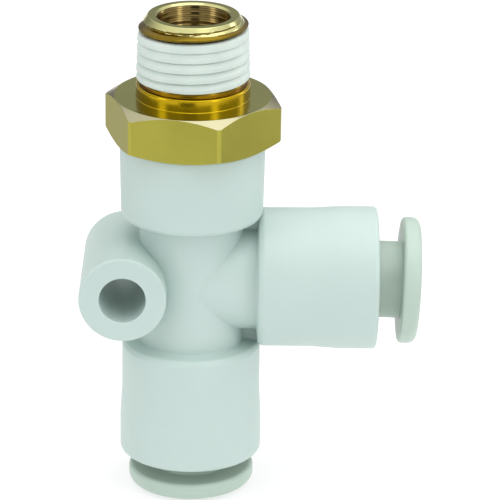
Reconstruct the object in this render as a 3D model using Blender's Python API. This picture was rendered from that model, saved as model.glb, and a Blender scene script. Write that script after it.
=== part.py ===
"""A push-in male run tee for 6 mm air tube with an R1/8 taper thread.

Row frame: +Z runs up the threaded stud and +X out of the branch port.  The origin is on the
stud's axis, in the plane of the hexagon's upper face.  Lengths below are in millimetres, and
MM turns them into Blender's metres.
"""

import math

import bmesh
import bpy
from mathutils import Matrix

MM = 0.001

# Taper pipe thread R1/8
THREAD_PITCH = 0.907
THREAD_DEPTH = 0.581
THREAD_GAUGE_R = 4.864          # crest radius in the gauge plane
THREAD_GAUGE_FROM_END = 3.97
THREAD_TAPER = 1 / 32           # radius gained for each length run back from the end
THREAD_FLAT = 0.12              # share of the pitch that the root and the crest each take

# Brass stud
STUD_TOP = 7.3
STUD_BORE_R = 3.15
BORE_LIP = 0.17
END_FACE_R = 3.9
NOSE_R = 4.38
NOSE_CHAMFER = 0.6
RELIEF_R = 4.6
THREAD_LOW = 1.4
THREAD_HIGH = 6.5
THREAD_PHASE_Z = 1.885          # where a root starts in the first half-plane
RING_R = 5.05                   # plain ring between the hexagon and the thread relief
RING_HEIGHT = 1.15
RING_CHAMFER = 0.15
HEX_ACROSS_FLATS = 14.0
HEX_HEIGHT = 4.0
HEX_TURN_DEG = 47.1
HEX_UPPER_CHAMFER_DEG = 30.0
HEX_LOWER_CHAMFER_DEG = 22.0
HEX_CHAMFER_INSET = 0.1         # how far inside the flats both chamfers start
SPIGOT_R = 5.0
SPIGOT_END = -9.7
SPIGOT_CHAMFER = 0.4
CLIP_GROOVE_HIGH = -5.6         # the clip's groove, partly in the spigot and partly in the body
CLIP_GROOVE_LOW = -6.5
CLIP_FLOOR_R = 4.4
CLIP_POCKET_R = 5.6
SEAL_GROOVE_HIGH = -7.6
SEAL_GROOVE_LOW = -8.9
SEAL_FLOOR_R = 4.0
CLIP_SWEEP_DEG = 322.0

# Dry sealant on the thread
COAT_LOW = 1.6
COAT_HIGH = 6.05
COAT_GAP = 0.05
COAT_OVER_CREST = 0.06
COAT_OVER_ROOT = 0.26

# Moulded body
BRANCH_Z = -16.9                # height of the branch port's axis
CORE_R = 4.68
NECK_R = 4.66
CORE_HALF = 5.8                 # from the tee's centre to each shoulder
WEB_HALF = 0.55                 # half the thickness of the web in each inner corner of the tee
SOCKET_R = 5.15                 # bore that takes the stud's spigot
SOCKET_FLOOR = -10.0
SOCKET_LEAD = 0.3
COLLAR_TOP = -4.2               # just under the hexagon
COLLAR_TOP_R = 6.42
COLLAR_LOW_R = 6.29
PASSAGE_R = 2.3
BOSS_X = -5.95
BOSS_R = 3.85
BOSS_HALF = 6.3
BOSS_HOLE_R = 2.05
BODY_EDGE = 0.3                 # rounding of the collar's and the boss's edges

# Each tube port, measured outward from the tee's centre along the port's own axis
TUBE_BORE_R = 3.1
TUBE_STOP = 4.0
SEAL_SEAT = 6.6
SEAL_LOW = 6.7
SEAL_HIGH = 8.1
SEAL_POCKET_R = 4.6
LIP_R = 3.02
BACK_RING_LOW = 8.2
BACK_RING_HIGH = 8.7
GUIDE_SEAT = 9.0
GUIDE_POCKET_R = 5.2
CASING_ROOT_R = 6.2
CASING_MOUTH_R = 6.37
SHOULDER_LENGTH = 1.0
FLARE_START = 10.9              # where the casing starts to grow towards its mouth
FLARE_END = 13.2
MOUTH = 16.5
MOUTH_EDGE = 0.5                # rounding of the mouth's outer edge
MOUTH_LEAD = 0.25               # chamfer of the mouth's inner edge
BUTTON_BACK = 18.6              # back of the flange with the button fully out
BUTTON_FLANGE_R = 5.65
BUTTON_FLANGE = 1.6
BUTTON_INNER_EDGE = 0.38        # rounding of the flange's edge on the body's side
BUTTON_OUTER_EDGE = 0.75
BUTTON_FUNNEL = 0.7
BUTTON_SLITS = 2
BUTTON_SLIT = 0.5
SLEEVE_R = 3.45
BARB_R = 3.95
BARB_LOW = 14.1
GUIDE_BORE_R = 3.65
GUIDE_SHOULDER = 15.0
WEDGE_INNER = 10.2
WEDGE_OUTER = 12.0
WEDGE_INNER_R = 4.65
WEDGE_OUTER_R = 4.1
COLLET_INNER = 10.0
COLLET_OUTER = 11.6
COLLET_BORE_R = 3.15
COLLET_SLITS = 3
COLLET_SLIT = 0.45
SLIT_TURN_DEG = 11.0
CHUCK_RIM = 9.75
CHUCK_RIM_R = 4.4
CHUCK_ROOT_R = 3.95
CHUCK_TIP_R = 3.05
CHUCK_LEAN = 0.28
CHUCK_TEETH = 9
CHUCK_THICKNESS = 0.22
COLLET_SHARE = 0.2              # how far the collet goes in for each millimetre of its button

# How far each button is pushed in at rest
BRANCH_PRESS = 0.0
RUN_PRESS = 0.55

FIT = 0.15                      # gap at a fit that turns or slides
STATIC = 0.10                   # gap between pieces that stay together

AROUND = 32                     # facets round a turned piece
THREAD_AROUND = 30
RING_AROUND = 24


def clear_scene():
    for old in list(bpy.data.objects):
        bpy.data.objects.remove(old, do_unlink=True)


def material(name, colour, roughness, metallic=0.0):
    made = bpy.data.materials.new(name)
    made.use_nodes = True
    shader = made.node_tree.nodes["Principled BSDF"]
    shader.inputs["Base Color"].default_value = (*colour, 1.0)
    shader.inputs["Roughness"].default_value = roughness
    shader.inputs["Metallic"].default_value = metallic
    made.diffuse_color = (*colour, 1.0)
    return made


def arc(centre, radii, start_deg, end_deg, steps):
    """Points (radius, height) along an ellipse's arc, both ends included."""
    points = []
    for k in range(steps + 1):
        angle = math.radians(start_deg + (end_deg - start_deg) * k / steps)
        points.append((centre[0] + radii[0] * math.cos(angle), centre[1] + radii[1] * math.sin(angle)))
    return points


def mesh_from(bm, name):
    bmesh.ops.recalc_face_normals(bm, faces=bm.faces)
    mesh = bpy.data.meshes.new(name)
    bm.to_mesh(mesh)
    bm.free()
    mesh.shade_smooth()
    mesh.set_sharp_from_angle(angle=math.radians(35))
    return mesh


def turned_mesh(name, profile, around=AROUND, sweep_deg=360.0):
    """A (radius, height) outline in millimetres turned about Z.  The outline closes on itself."""
    bm = bmesh.new()
    corners = [bm.verts.new((r * MM, 0.0, z * MM)) for r, z in profile]
    whole = sweep_deg >= 360.0
    if whole:
        edges = [bm.edges.new((corners[k - 1], corners[k])) for k in range(len(corners))]
        geometry = corners + edges
    else:
        face = bm.faces.new(corners)
        geometry = corners + list(face.edges) + [face]
    bmesh.ops.spin(
        bm,
        geom=geometry,
        cent=(0.0, 0.0, 0.0),
        axis=(0.0, 0.0, 1.0),
        angle=math.radians(sweep_deg),
        steps=around,
        use_merge=whole,
    )
    bmesh.ops.remove_doubles(bm, verts=bm.verts, dist=1e-7)
    on_axis = [e for e in bm.edges if all(math.hypot(v.co.x, v.co.y) < 1e-7 for v in e.verts)]
    bmesh.ops.delete(bm, geom=on_axis, context="EDGES")
    return mesh_from(bm, name)


def placed(name, mesh, finish, matrix=None):
    thing = bpy.data.objects.new(name, mesh)
    bpy.context.scene.collection.objects.link(thing)
    if not mesh.materials:
        mesh.materials.append(finish)
    if matrix is not None:
        thing.matrix_world = matrix
    return thing


def helper(name, mesh, matrix=None):
    """An operand for a Boolean, which is left out of the model."""
    thing = bpy.data.objects.new(name, mesh)
    bpy.context.scene.collection.objects.link(thing)
    if matrix is not None:
        thing.matrix_world = matrix
    thing.hide_render = True
    thing.display_type = "WIRE"
    return thing


def combine(thing, other, operation):
    modifier = thing.modifiers.new(operation.lower() + "_" + other.name, "BOOLEAN")
    modifier.operation = operation
    modifier.object = other
    modifier.solver = "EXACT"


def settled_mesh(thing, name):
    """The mesh of an object with its modifiers applied, for pieces that are used twice."""
    bpy.context.view_layer.update()
    graph = bpy.context.evaluated_depsgraph_get()
    mesh = bpy.data.meshes.new_from_object(thing.evaluated_get(graph))
    mesh.name = name
    bpy.data.objects.remove(thing, do_unlink=True)
    return mesh


def box_mesh(name, low, high):
    bm = bmesh.new()
    bmesh.ops.create_cube(bm, size=1.0)
    for vert in bm.verts:
        for k in range(3):
            vert.co[k] = (low[k] if vert.co[k] < 0 else high[k]) * MM
    return mesh_from(bm, name)


# ---------------------------------------------------------------- thread


def crest_radius(z):
    gauge_z = STUD_TOP - THREAD_GAUGE_FROM_END
    return THREAD_GAUGE_R + (gauge_z - z) * THREAD_TAPER


def thread_height(phase):
    """Height of the 55 degree thread form as a share of its depth, at a phase of one pitch."""
    phase %= 1.0
    flank = 0.5 - THREAD_FLAT
    if phase < THREAD_FLAT:
        return 0.0
    if phase < 0.5:
        return (phase - THREAD_FLAT) / flank
    if phase < 0.5 + THREAD_FLAT:
        return 1.0
    return (1.0 - phase) / flank


def runout(z):
    """1 along the full thread, fading to 0 at both of its ends."""
    fade = 0.6 * THREAD_PITCH
    share = min((z - THREAD_LOW) / fade, (THREAD_HIGH - z) / fade, 1.0)
    return max(share, 0.0)


def thread_radius(turn, z, over_root=0.0, over_crest=0.0):
    """Radius at height z, with turn running from 0 to 1 round the axis, under a coat if one is given."""
    height = thread_height((z - THREAD_PHASE_Z) / THREAD_PITCH - turn) * runout(z)
    root = crest_radius(z) - THREAD_DEPTH
    return root + over_root + height * (THREAD_DEPTH + over_crest - over_root)


def thread_column(k, low, high, over_root=0.0, over_crest=0.0):
    """(radius, height) points up the thread in the k-th half-plane, cut off at low and high."""
    stops = (0.0, THREAD_FLAT, 0.5, 0.5 + THREAD_FLAT)
    turn = k / THREAD_AROUND
    first = math.floor((low - THREAD_PHASE_Z) / THREAD_PITCH) - 1
    last = math.ceil((high - THREAD_PHASE_Z) / THREAD_PITCH) + 1
    rows = [THREAD_PHASE_Z + THREAD_PITCH * (n + stop + turn) for n in range(first, last) for stop in stops]
    sliver = 1e-3
    heights = [low, *(z for z in rows if low + sliver < z < high - sliver), high]
    return [(thread_radius(turn, z, over_root, over_crest), z) for z in heights]


def stitch(bm, left, right):
    """Faces between two columns whose points climb at slightly different heights."""
    a = b = 0
    while a < len(left) - 1 or b < len(right) - 1:
        up_left = left[a + 1].co.z if a < len(left) - 1 else math.inf
        up_right = right[b + 1].co.z if b < len(right) - 1 else math.inf
        both_top = a == len(left) - 2 and b == len(right) - 2
        if both_top or abs(up_left - up_right) < 0.6 * THREAD_PITCH * MM / THREAD_AROUND * 2:
            bm.faces.new((left[a], right[b], right[b + 1], left[a + 1]))
            a += 1
            b += 1
        elif up_left < up_right:
            bm.faces.new((left[a], right[b], left[a + 1]))
            a += 1
        else:
            bm.faces.new((left[a], right[b], right[b + 1]))
            b += 1


def column_of(bm, points, k):
    """Vertices at (radius, height) points in the k-th half-plane round the axis."""
    angle = 2 * math.pi * k / THREAD_AROUND
    return [bm.verts.new((r * math.cos(angle) * MM, r * math.sin(angle) * MM, z * MM)) for r, z in points]


def bridge(bm, left, right):
    """Quads between two columns that have the same number of points."""
    for k in range(len(left) - 1):
        bm.faces.new((left[k], left[k + 1], right[k + 1], right[k]))


def sealant_mesh():
    """The dry coat: a thin skin that follows the thread."""
    bm = bmesh.new()
    walls = []
    for over_root, over_crest in ((COAT_GAP, COAT_GAP), (COAT_OVER_ROOT, COAT_OVER_CREST)):
        columns = []
        for k in range(THREAD_AROUND):
            points = thread_column(k, COAT_LOW, COAT_HIGH, over_root, over_crest)
            columns.append(column_of(bm, points, k))
        walls.append(columns)
    inner, outer = walls
    for k in range(THREAD_AROUND):
        stitch(bm, inner[k - 1], inner[k])
        stitch(bm, outer[k - 1], outer[k])
        bm.faces.new((inner[k - 1][0], inner[k][0], outer[k][0], outer[k - 1][0]))
        bm.faces.new((inner[k - 1][-1], inner[k][-1], outer[k][-1], outer[k - 1][-1]))
    return mesh_from(bm, "thread_sealant")


# ---------------------------------------------------------------- stud


def hexagon_radius(k):
    """Distance from the axis to the hexagon's side in the k-th half-plane."""
    from_middle = (360.0 * k / THREAD_AROUND) % 60.0 - 30.0
    return HEX_ACROSS_FLATS / 2 / math.cos(math.radians(from_middle))


def above_thread():
    """From the bore's lip over the end face and down to the thread."""
    return [
        (STUD_BORE_R, STUD_TOP - BORE_LIP),
        (STUD_BORE_R + BORE_LIP, STUD_TOP),
        (END_FACE_R, STUD_TOP),
        (NOSE_R, STUD_TOP - NOSE_CHAMFER),
        (NOSE_R, THREAD_HIGH + 0.1),
    ]


def below_thread(k):
    """From the thread relief down over the ring, the hexagon and the spigot to the bore's lower lip."""
    side_r = hexagon_radius(k)
    start_r = HEX_ACROSS_FLATS / 2 - HEX_CHAMFER_INSET
    upper = (side_r - start_r) * math.tan(math.radians(HEX_UPPER_CHAMFER_DEG))
    lower = (side_r - start_r) * math.tan(math.radians(HEX_LOWER_CHAMFER_DEG))
    return [
        (RELIEF_R, THREAD_LOW - 0.1),
        (RELIEF_R, RING_HEIGHT),
        (RING_R - RING_CHAMFER, RING_HEIGHT),
        (RING_R, RING_HEIGHT - RING_CHAMFER),
        (RING_R, 0.0),
        (start_r, 0.0),
        (side_r, -upper),
        (side_r, -HEX_HEIGHT + lower),
        (start_r, -HEX_HEIGHT),
        (SPIGOT_R, -HEX_HEIGHT),
        (SPIGOT_R, CLIP_GROOVE_HIGH),
        (CLIP_FLOOR_R, CLIP_GROOVE_HIGH),
        (CLIP_FLOOR_R, CLIP_GROOVE_LOW),
        (SPIGOT_R, CLIP_GROOVE_LOW),
        (SPIGOT_R, SEAL_GROOVE_HIGH),
        (SEAL_FLOOR_R, SEAL_GROOVE_HIGH),
        (SEAL_FLOOR_R, SEAL_GROOVE_LOW),
        (SPIGOT_R, SEAL_GROOVE_LOW),
        (SPIGOT_R, SPIGOT_END + SPIGOT_CHAMFER),
        (SPIGOT_R - SPIGOT_CHAMFER, SPIGOT_END),
        (STUD_BORE_R + BORE_LIP, SPIGOT_END),
        (STUD_BORE_R, SPIGOT_END + BORE_LIP),
    ]


def stud_mesh():
    bm = bmesh.new()
    columns = []
    for k in range(THREAD_AROUND):
        upper = column_of(bm, above_thread(), k)
        thread = column_of(bm, thread_column(k, THREAD_LOW, THREAD_HIGH), k)
        lower = column_of(bm, below_thread(k), k)
        columns.append((upper, thread, lower))
    for k in range(THREAD_AROUND):
        (upper_a, thread_a, lower_a), (upper_b, thread_b, lower_b) = columns[k - 1], columns[k]
        stitch(bm, thread_a, thread_b)
        bridge(bm, [*upper_a, thread_a[-1]], [*upper_b, thread_b[-1]])
        bridge(bm, [thread_a[0], *lower_a, upper_a[0]], [thread_b[0], *lower_b, upper_b[0]])
    return mesh_from(bm, "threaded_stud")


def make_stud():
    turn = Matrix.Rotation(math.radians(HEX_TURN_DEG), 4, "Z")
    placed("threaded_stud", stud_mesh(), brass, turn)
    placed("thread_sealant", sealant_mesh(), sealant_white, turn)


def make_swivel_pieces():
    """The O-ring that seals the spigot, and the split ring that holds it in the body."""
    cord_r = (SOCKET_R - SEAL_FLOOR_R) / 2 - STATIC
    middle = ((SOCKET_R + SEAL_FLOOR_R) / 2, (SEAL_GROOVE_HIGH + SEAL_GROOVE_LOW) / 2)
    outline = arc(middle, (cord_r, cord_r), 0, 315, 7)
    placed("swivel_o_ring", turned_mesh("swivel_o_ring", outline, around=RING_AROUND), rubber)
    low, high = CLIP_GROOVE_LOW + STATIC, CLIP_GROOVE_HIGH - STATIC
    inner, outer = CLIP_FLOOR_R + FIT, CLIP_POCKET_R - STATIC
    edge = 0.15
    outline = [
        (inner, low),
        (outer - edge, low),
        (outer, low + edge),
        (outer, high - edge),
        (outer - edge, high),
        (inner, high),
    ]
    clip = turned_mesh("swivel_clip", outline, around=RING_AROUND, sweep_deg=CLIP_SWEEP_DEG)
    placed("swivel_clip", clip, steel)


# ---------------------------------------------------------------- body


def casing_outline():
    """The outside of a tube port, from the neck's side of the shoulder to the mouth."""
    shoulder_centre = (NECK_R, CORE_HALF + SHOULDER_LENGTH)
    shoulder = arc(shoulder_centre, (CASING_ROOT_R - NECK_R, SHOULDER_LENGTH), -90, 0, 4)
    lip = arc((CASING_MOUTH_R - MOUTH_EDGE, MOUTH - MOUTH_EDGE), (MOUTH_EDGE, MOUTH_EDGE), 0, 90, 4)
    return [*shoulder, (CASING_ROOT_R, FLARE_START), (CASING_MOUTH_R, FLARE_END), *lip]


def port_bore_outline():
    """The stepped bore of a tube port, from the tee's centre out past the mouth."""
    past = 0.8
    return [
        (0.0, 0.0),
        (PASSAGE_R, 0.0),
        (PASSAGE_R, TUBE_STOP),
        (TUBE_BORE_R, TUBE_STOP),
        (TUBE_BORE_R, SEAL_SEAT),
        (SEAL_POCKET_R, SEAL_SEAT),
        (SEAL_POCKET_R, GUIDE_SEAT),
        (GUIDE_POCKET_R, GUIDE_SEAT),
        (GUIDE_POCKET_R, MOUTH - MOUTH_LEAD),
        (GUIDE_POCKET_R + MOUTH_LEAD + past, MOUTH + past),
        (0.0, MOUTH + past),
    ]


def run_shell_outline():
    """Collar, core and lower port as one outline down the stud's axis."""
    collar_low = BRANCH_Z + CORE_HALF
    edge = BODY_EDGE
    collar = [
        (0.0, COLLAR_TOP),
        *arc((COLLAR_TOP_R - edge, COLLAR_TOP - edge), (edge, edge), 90, 0, 2),
        *arc((COLLAR_LOW_R - edge, collar_low + edge), (edge, edge), 0, -90, 2),
        (CORE_R, collar_low),
    ]
    port = [(r, BRANCH_Z - s) for r, s in casing_outline()]
    port[0] = (CORE_R, port[0][1])
    return [*collar, *port, (0.0, BRANCH_Z - MOUTH)]


def run_bore_outline():
    """The spigot's socket and, below the passage, the lower port's stepped bore."""
    port = [(r, BRANCH_Z - s) for r, s in port_bore_outline()][1:]
    past = 0.7
    return [
        (0.0, COLLAR_TOP + past),
        (SOCKET_R + SOCKET_LEAD + past, COLLAR_TOP + past),
        (SOCKET_R, COLLAR_TOP - SOCKET_LEAD),
        (SOCKET_R, CLIP_GROOVE_HIGH),
        (CLIP_POCKET_R, CLIP_GROOVE_HIGH),
        (CLIP_POCKET_R, CLIP_GROOVE_LOW),
        (SOCKET_R, CLIP_GROOVE_LOW),
        (SOCKET_R, SOCKET_FLOOR),
        (PASSAGE_R, SOCKET_FLOOR),
        *port,
    ]


def make_body():
    body = placed("tee_body", turned_mesh("tee_body", run_shell_outline()), white_resin)
    branch = [(0.0, 0.0), (NECK_R, 0.0), *casing_outline(), (0.0, MOUTH)]
    combine(body, helper("branch_shell", turned_mesh("branch_shell", branch), branch_frame), "UNION")
    bm = bmesh.new()
    bmesh.ops.create_cube(bm, size=1.0)
    reach = CORE_HALF + 0.35
    for vert in bm.verts:
        vert.co.x = (vert.co.x + 0.5) * reach * MM
        vert.co.y *= 2 * WEB_HALF * MM
        vert.co.z *= 2 * reach * MM
    combine(body, helper("web", mesh_from(bm, "web"), tee_centre), "UNION")
    edge = BODY_EDGE
    boss = [
        (0.0, BOSS_HALF),
        *arc((BOSS_R - edge, BOSS_HALF - edge), (edge, edge), 90, 0, 2),
        *arc((BOSS_R - edge, -BOSS_HALF + edge), (edge, edge), 0, -90, 2),
        (0.0, -BOSS_HALF),
    ]
    at_boss = tee_centre @ Matrix.Translation((BOSS_X * MM, 0.0, 0.0))
    across = at_boss @ Matrix.Rotation(math.radians(90), 4, "X")
    combine(body, helper("boss", turned_mesh("boss", boss), across), "UNION")
    combine(body, helper("run_bore", turned_mesh("run_bore", run_bore_outline())), "DIFFERENCE")
    branch_bore = turned_mesh("branch_bore", port_bore_outline())
    combine(body, helper("branch_bore", branch_bore, branch_frame), "DIFFERENCE")
    end = BOSS_HALF + 1.0
    hole = [(0.0, end), (BOSS_HOLE_R, end), (BOSS_HOLE_R, -end), (0.0, -end)]
    hole_mesh = turned_mesh("boss_hole", hole, around=RING_AROUND)
    combine(body, helper("boss_hole", hole_mesh, across), "DIFFERENCE")


# ---------------------------------------------------------------- tube port


def seal_mesh():
    """A lip packing.  The groove between its two lips faces the pressure."""
    outer = SEAL_POCKET_R - STATIC
    inner = LIP_R
    groove_floor = SEAL_HIGH - 0.75
    profile = [
        (outer, SEAL_LOW),
        (outer, SEAL_HIGH),
        (inner + 0.35, SEAL_HIGH),
        (inner + 0.2, groove_floor),
        (inner, SEAL_LOW + 0.45),
        (inner + 0.05, SEAL_LOW),
        (inner + 0.35, SEAL_LOW),
        (inner + 0.6, groove_floor),
        (outer - 0.45, groove_floor),
        (outer - 0.25, SEAL_LOW),
    ]
    return turned_mesh("seal", profile, around=RING_AROUND)


def back_ring_mesh():
    """A washer that backs the seal and stops the tube's edge from catching."""
    outer, inner = SEAL_POCKET_R - STATIC, TUBE_BORE_R
    edge = 0.12
    profile = [
        (inner + edge, BACK_RING_LOW),
        (outer, BACK_RING_LOW),
        (outer, BACK_RING_HIGH - edge),
        (outer - edge, BACK_RING_HIGH),
        (inner + edge, BACK_RING_HIGH),
        (inner, BACK_RING_HIGH - edge),
        (inner, BACK_RING_LOW + edge),
    ]
    return turned_mesh("back_ring", profile, around=RING_AROUND)


def chuck_mesh():
    """A thin steel ring with teeth that lean inward and back from the mouth."""
    facets, tooth_facets = 4, 3
    around = CHUCK_TEETH * facets
    rows = ((CHUCK_RIM_R, CHUCK_RIM), (CHUCK_ROOT_R, CHUCK_RIM), (CHUCK_TIP_R, CHUCK_RIM - CHUCK_LEAN))
    bm = bmesh.new()
    rings = []
    for r, z in rows:
        angles = [2 * math.pi * k / around for k in range(around)]
        rings.append([bm.verts.new((r * math.cos(a) * MM, r * math.sin(a) * MM, z * MM)) for a in angles])
    rim, root, tip = rings
    for k in range(around):
        after = (k + 1) % around
        bm.faces.new((rim[k], rim[after], root[after], root[k]))
        if k % facets < tooth_facets:
            bm.faces.new((root[k], root[after], tip[after], tip[k]))
    loose = [vert for vert in bm.verts if not vert.link_faces]
    bmesh.ops.delete(bm, geom=loose, context="VERTS")
    sheet = placed("chuck_sheet", mesh_from(bm, "chuck_sheet"), steel)
    thickness = sheet.modifiers.new("thickness", "SOLIDIFY")
    thickness.thickness = CHUCK_THICKNESS * MM
    thickness.offset = 0.0
    return settled_mesh(sheet, "chuck")


def slit(thing, count, width, low, high):
    """Cuts slits that run across the axis, which leaves twice as many fingers."""
    reach = 6.0
    for k in range(count):
        blade = box_mesh("slit", (-reach, -width / 2, low), (reach, width / 2, high))
        turn = Matrix.Rotation(math.pi * k / count + math.radians(SLIT_TURN_DEG), 4, "Z")
        combine(thing, helper(f"{thing.name}_slit_{k}", blade, turn), "DIFFERENCE")


def cut_mesh(thing, name):
    """The mesh left by a blank's slits.  The blank and its cutters go."""
    blank = thing.name
    mesh = settled_mesh(thing, name)
    for cutter in [o for o in bpy.data.objects if o.name.startswith(blank)]:
        bpy.data.objects.remove(cutter, do_unlink=True)
    return mesh


def guide_radius(s):
    """The guide's wedge, which closes the collet on the tube when the tube is pulled."""
    share = min(max((s - WEDGE_INNER) / (WEDGE_OUTER - WEDGE_INNER), 0.0), 1.0)
    return WEDGE_INNER_R + share * (WEDGE_OUTER_R - WEDGE_INNER_R)


def guide_mesh():
    outer = GUIDE_POCKET_R - STATIC
    low, high = GUIDE_SEAT + STATIC, MOUTH - 0.15
    edge = 0.2
    profile = [
        (WEDGE_INNER_R, low),
        (outer, low),
        (outer, high - edge),
        (outer - edge, high),
        (GUIDE_BORE_R + edge, high),
        (GUIDE_BORE_R, high - edge),
        (GUIDE_BORE_R, GUIDE_SHOULDER),
        (WEDGE_OUTER_R, GUIDE_SHOULDER),
        (WEDGE_OUTER_R, WEDGE_OUTER),
        (WEDGE_INNER_R, WEDGE_INNER),
    ]
    return turned_mesh("guide_ring", profile, around=RING_AROUND)


def collet_mesh():
    """A ring whose outside follows the guide's wedge, split into fingers at its outer end."""
    edge = 0.15
    profile = [
        (COLLET_BORE_R + edge, COLLET_INNER),
        (WEDGE_INNER_R - FIT - edge, COLLET_INNER),
        (WEDGE_INNER_R - FIT, COLLET_INNER + edge),
        (WEDGE_INNER_R - FIT, WEDGE_INNER),
        (guide_radius(COLLET_OUTER - edge) - FIT, COLLET_OUTER - edge),
        (guide_radius(COLLET_OUTER) - FIT - edge, COLLET_OUTER),
        (COLLET_BORE_R + edge, COLLET_OUTER),
        (COLLET_BORE_R, COLLET_OUTER - edge),
        (COLLET_BORE_R, COLLET_INNER + edge),
    ]
    blank = placed("collet_blank", turned_mesh("collet_blank", profile, around=RING_AROUND), resin_inner)
    slit(blank, COLLET_SLITS, COLLET_SLIT, COLLET_INNER + 0.5, COLLET_OUTER + 1.0)
    return cut_mesh(blank, "collet")


def button_mesh():
    """Flange, sleeve and the barbs that keep the button in its guide."""
    front = BUTTON_BACK + BUTTON_FLANGE
    nose = BARB_LOW - 0.3
    inner, outer, bevel = BUTTON_INNER_EDGE, BUTTON_OUTER_EDGE, 0.12
    profile = [
        (TUBE_BORE_R, nose),
        (SLEEVE_R - 0.2, nose),
        (BARB_R, BARB_LOW + 0.35),
        (BARB_R, GUIDE_SHOULDER - FIT),
        (SLEEVE_R, GUIDE_SHOULDER - FIT),
        (SLEEVE_R, BUTTON_BACK - bevel),
        (SLEEVE_R + bevel, BUTTON_BACK),
        *arc((BUTTON_FLANGE_R - inner, BUTTON_BACK + inner), (inner, inner), -90, 0, 3),
        *arc((BUTTON_FLANGE_R - outer, front - outer), (outer, outer), 0, 90, 3),
        (TUBE_BORE_R + BUTTON_FUNNEL, front),
        (TUBE_BORE_R + 0.15, front - 0.7),
        (TUBE_BORE_R, front - 1.3),
    ]
    blank = placed("button_blank", turned_mesh("button_blank", profile), white_button)
    slit(blank, BUTTON_SLITS, BUTTON_SLIT, nose - 1.0, GUIDE_SHOULDER + 0.7)
    return cut_mesh(blank, "release_button")


def make_port(prefix, frame, press, meshes):
    """One push-in port.  Its button is pushed in by press, and takes the collet and chuck along."""
    for piece, finish, share in PORT_PIECES:
        pushed = frame @ Matrix.Translation((0.0, 0.0, -press * share * MM))
        placed(f"{prefix}_{piece}", meshes[piece], finish, pushed)


clear_scene()
brass = material("brass", (0.72, 0.58, 0.22), 0.28, 1.0)
nickel = material("nickel_plate", (0.72, 0.71, 0.68), 0.3, 1.0)
steel = material("stainless_steel", (0.62, 0.62, 0.60), 0.3, 1.0)
white_resin = material("white_resin", (0.78, 0.86, 0.83), 0.45)
white_button = material("button_resin", (0.80, 0.88, 0.83), 0.4)
resin_inner = material("inner_resin", (0.75, 0.76, 0.74), 0.5)
sealant_white = material("sealant", (0.86, 0.91, 0.89), 0.6)
rubber = material("nitrile_rubber", (0.03, 0.03, 0.03), 0.6)

# Each piece of a port, its finish, and the share of the button's travel that it makes
PORT_PIECES = (
    ("seal", rubber, 0.0),
    ("back_ring", resin_inner, 0.0),
    ("chuck", steel, COLLET_SHARE),
    ("collet", resin_inner, COLLET_SHARE),
    ("guide_ring", nickel, 0.0),
    ("release_button", white_button, 1.0),
)

tee_centre = Matrix.Translation((0.0, 0.0, BRANCH_Z * MM))
branch_frame = tee_centre @ Matrix.Rotation(math.radians(90), 4, "Y")
run_frame = tee_centre @ Matrix.Rotation(math.radians(180), 4, "X")

make_stud()
make_swivel_pieces()
make_body()
port_meshes = {
    "seal": seal_mesh(),
    "back_ring": back_ring_mesh(),
    "chuck": chuck_mesh(),
    "collet": collet_mesh(),
    "guide_ring": guide_mesh(),
    "release_button": button_mesh(),
}
make_port("branch", branch_frame, BRANCH_PRESS, port_meshes)
make_port("run", run_frame, RUN_PRESS, port_meshes)
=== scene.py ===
"""Looks of the push-in run tee: fine meshes, finishes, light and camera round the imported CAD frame.

Lengths in the outlines are millimetres; MM turns them into metres.  +Z runs up the stud and +X out
of the branch port, and the origin is in the plane of the hexagon's upper face.
"""
import math

import bmesh
import bpy
from mathutils import Matrix, Vector, noise


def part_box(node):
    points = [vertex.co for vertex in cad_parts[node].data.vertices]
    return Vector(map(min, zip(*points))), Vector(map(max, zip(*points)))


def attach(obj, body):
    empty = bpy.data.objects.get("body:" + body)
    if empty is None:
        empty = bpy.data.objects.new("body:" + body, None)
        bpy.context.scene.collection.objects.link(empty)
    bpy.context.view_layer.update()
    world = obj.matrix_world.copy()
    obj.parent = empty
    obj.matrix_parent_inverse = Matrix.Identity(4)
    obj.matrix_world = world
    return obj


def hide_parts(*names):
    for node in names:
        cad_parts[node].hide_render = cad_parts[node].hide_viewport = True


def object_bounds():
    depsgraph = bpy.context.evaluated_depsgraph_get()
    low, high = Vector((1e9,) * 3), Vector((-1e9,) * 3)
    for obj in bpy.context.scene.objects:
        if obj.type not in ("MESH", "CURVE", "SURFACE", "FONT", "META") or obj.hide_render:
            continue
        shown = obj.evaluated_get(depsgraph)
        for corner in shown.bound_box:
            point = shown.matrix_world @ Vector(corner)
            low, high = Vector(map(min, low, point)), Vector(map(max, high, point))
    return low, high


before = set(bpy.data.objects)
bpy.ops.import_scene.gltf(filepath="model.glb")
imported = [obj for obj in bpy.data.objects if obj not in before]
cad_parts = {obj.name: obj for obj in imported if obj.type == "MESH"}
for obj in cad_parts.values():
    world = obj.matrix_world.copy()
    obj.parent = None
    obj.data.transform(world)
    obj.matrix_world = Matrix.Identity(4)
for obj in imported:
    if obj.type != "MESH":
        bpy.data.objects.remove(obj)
cad_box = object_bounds()

MM = 0.001

# Places, read from the frame
STUD_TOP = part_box("threaded_stud")[1].z / MM
SPIGOT_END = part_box("threaded_stud")[0].z / MM
BRANCH_Z = (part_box("branch_guide_ring")[0].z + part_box("branch_guide_ring")[1].z) / 2 / MM
BOSS_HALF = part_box("tee_body")[1].y / MM
BRANCH_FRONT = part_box("branch_release_button")[1].x / MM
RUN_FRONT = BRANCH_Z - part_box("run_release_button")[0].z / MM
MOUTH = BRANCH_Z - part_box("tee_body")[0].z / MM

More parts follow.
